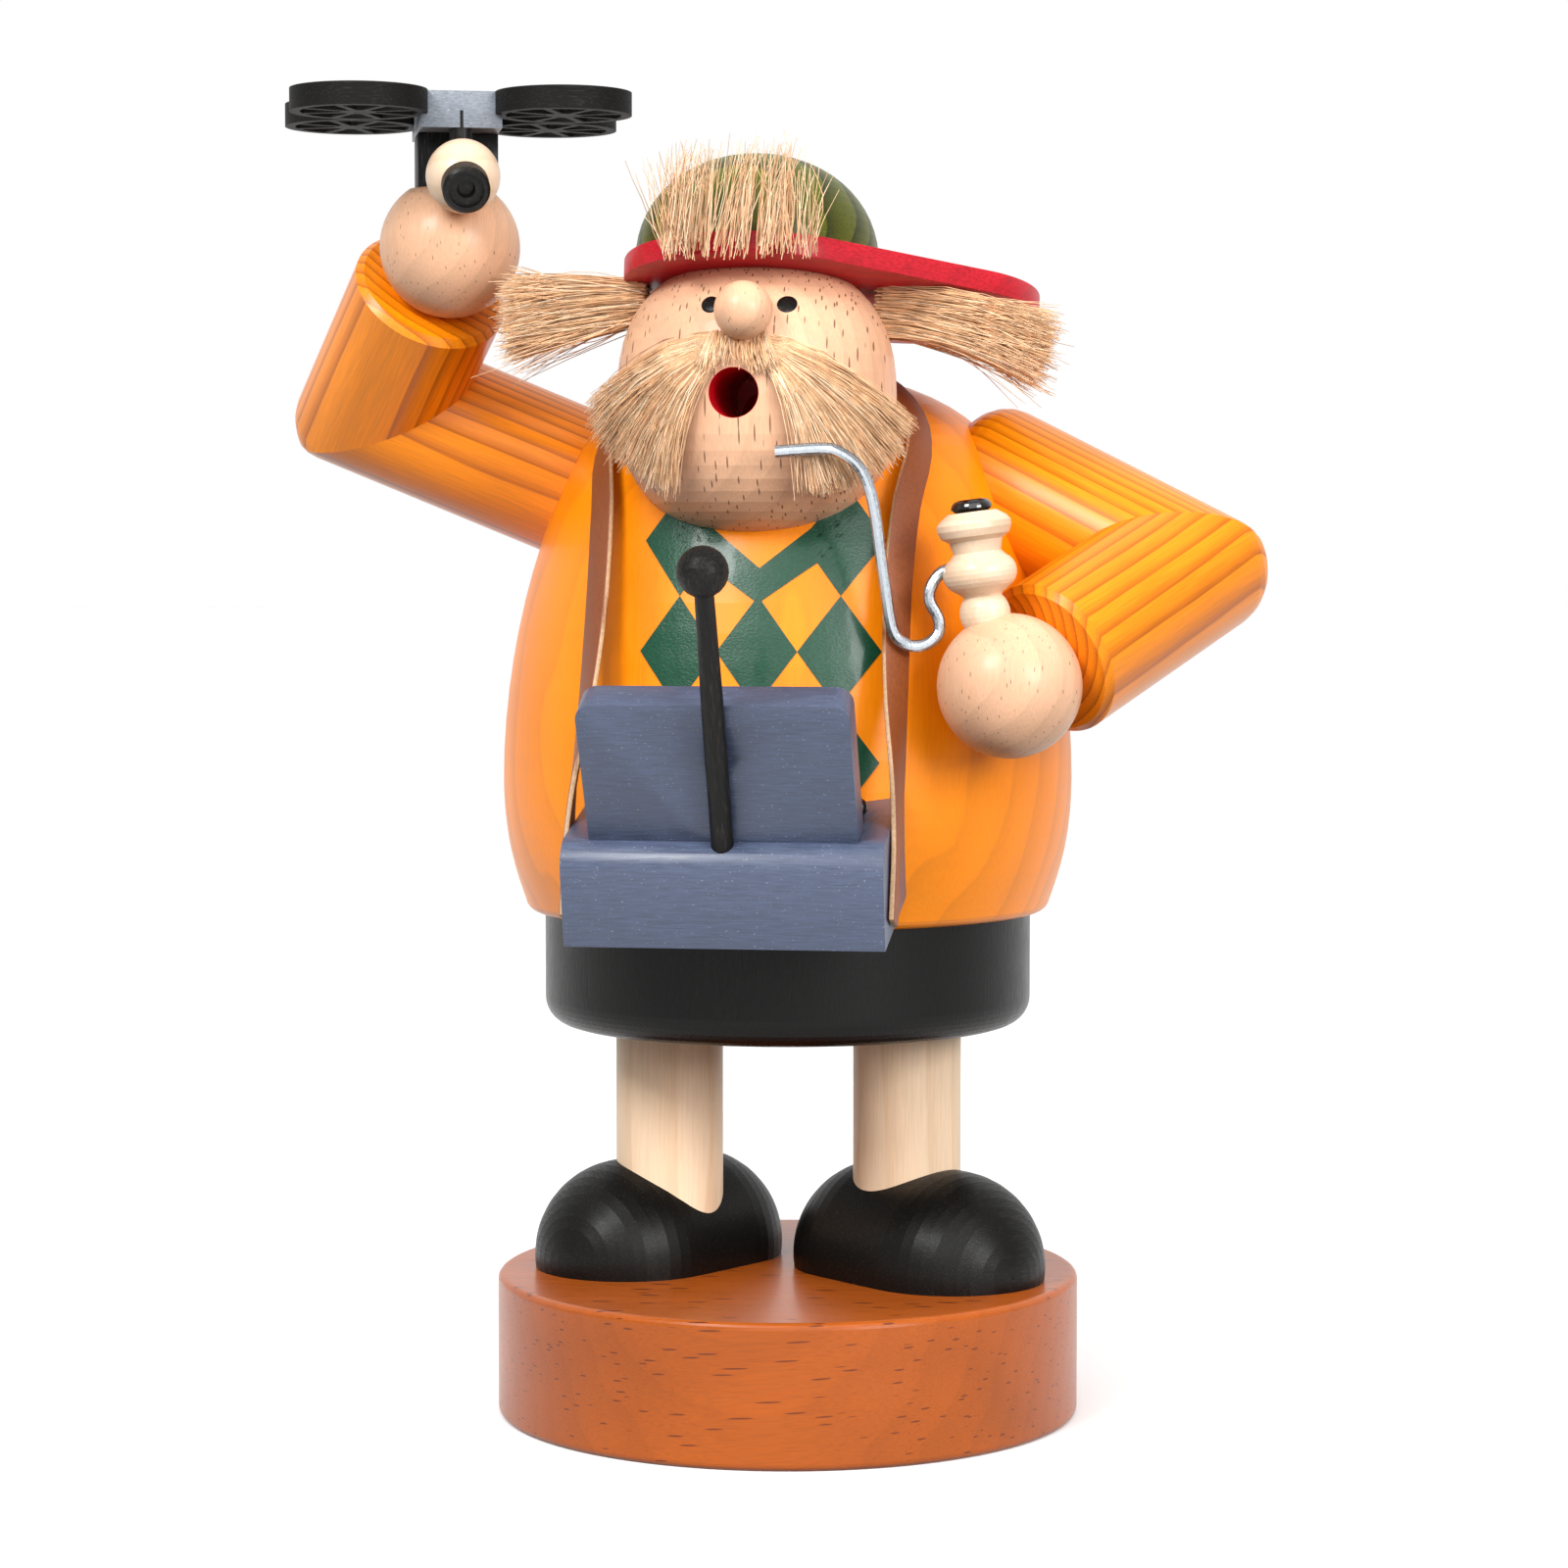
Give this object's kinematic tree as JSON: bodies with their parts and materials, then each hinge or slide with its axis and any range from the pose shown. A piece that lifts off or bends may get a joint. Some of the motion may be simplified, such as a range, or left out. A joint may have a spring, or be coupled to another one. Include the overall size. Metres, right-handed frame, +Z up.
{
  "type": "incense smoker figure",
  "caption": "Turned wooden incense smoker figure of a drone pilot on a round base; the hollow upper body lifts off its spigot so a cone can be lit inside.",
  "frame": {"origin": "centre of the underside of the round base", "axes": "+Z up; the figure faces -Y; its right hand, which holds the drone, is towards -X"},
  "size_m": [0.1807, 0.1564, 0.24],
  "materials": {
    "stained_beech_base": "satin lacquer over stained beech",
    "black_stained_wood": "matt black stain, grain showing",
    "maple_dowel": "plain turned dowel",
    "black_lacquer_wood": "satin black lacquer",
    "sheet_steel": "plain sheet",
    "brass": "plain",
    "orange_glaze_jacket": "orange glaze under satin lacquer",
    "orange_glaze_pine": "orange glazed pine, strong growth rings",
    "beech": "clear lacquered beech",
    "pale_wood": "clear lacquered maple",
    "green_glaze": "green glaze",
    "red_stain": "red stain",
    "hair_fibre": "loose straight plant fibre",
    "grey_stain": "blue-grey stain with fine speckle",
    "drone_grey": "grey sparkle paint on wood",
    "black_gloss": "black gloss enamel",
    "steel_wire": "bright drawn wire",
    "leather": "brown leather with raw edges"
  },
  "bodies": {
    "lower": {"base": "stained_beech_base", "shoe_right": "black_stained_wood", "shoe_left": "black_stained_wood", "leg_right": "maple_dowel", "leg_left": "maple_dowel", "trousers": "black_lacquer_wood", "incense_plate": "sheet_steel", "plate_tack": "brass"},
    "upper": {"jacket": "orange_glaze_jacket", "head": "beech", "nose": "beech", "cap_dome": "green_glaze", "cap_brim": "red_stain", "moustache": "hair_fibre", "hair_front": "hair_fibre", "hair_right": "hair_fibre", "hair_left": "hair_fibre", "upper_arm_right": "orange_glaze_pine", "forearm_right": "orange_glaze_pine", "hand_right": "beech", "upper_arm_left": "orange_glaze_pine", "forearm_left": "orange_glaze_pine", "hand_left": "beech", "shoulder_dowels": "maple_dowel", "elbow_dowels": "maple_dowel", "wrist_dowels": "maple_dowel", "drone_block": "drone_grey", "drone_post": "black_stained_wood", "rotor_front_right": "black_stained_wood", "rotor_front_left": "black_stained_wood", "rotor_rear_right": "black_stained_wood", "rotor_rear_left": "black_stained_wood", "camera_neck": "black_stained_wood", "camera_ball": "pale_wood", "camera_lens": "black_gloss", "pipe": "pale_wood", "pipe_tobacco": "black_gloss", "pipe_stem": "steel_wire", "remote_box": "grey_stain", "remote_board": "grey_stain", "antenna": "black_stained_wood", "joystick_right": "black_gloss", "joystick_left": "black_gloss", "strap": "leather"}
  },
  "joints": [
    {"name": "jacket_lift", "type": "slide", "parent": "lower", "child": "upper", "axis": [0, 0, 1], "range_m": [0, 0.06]}
  ]
}
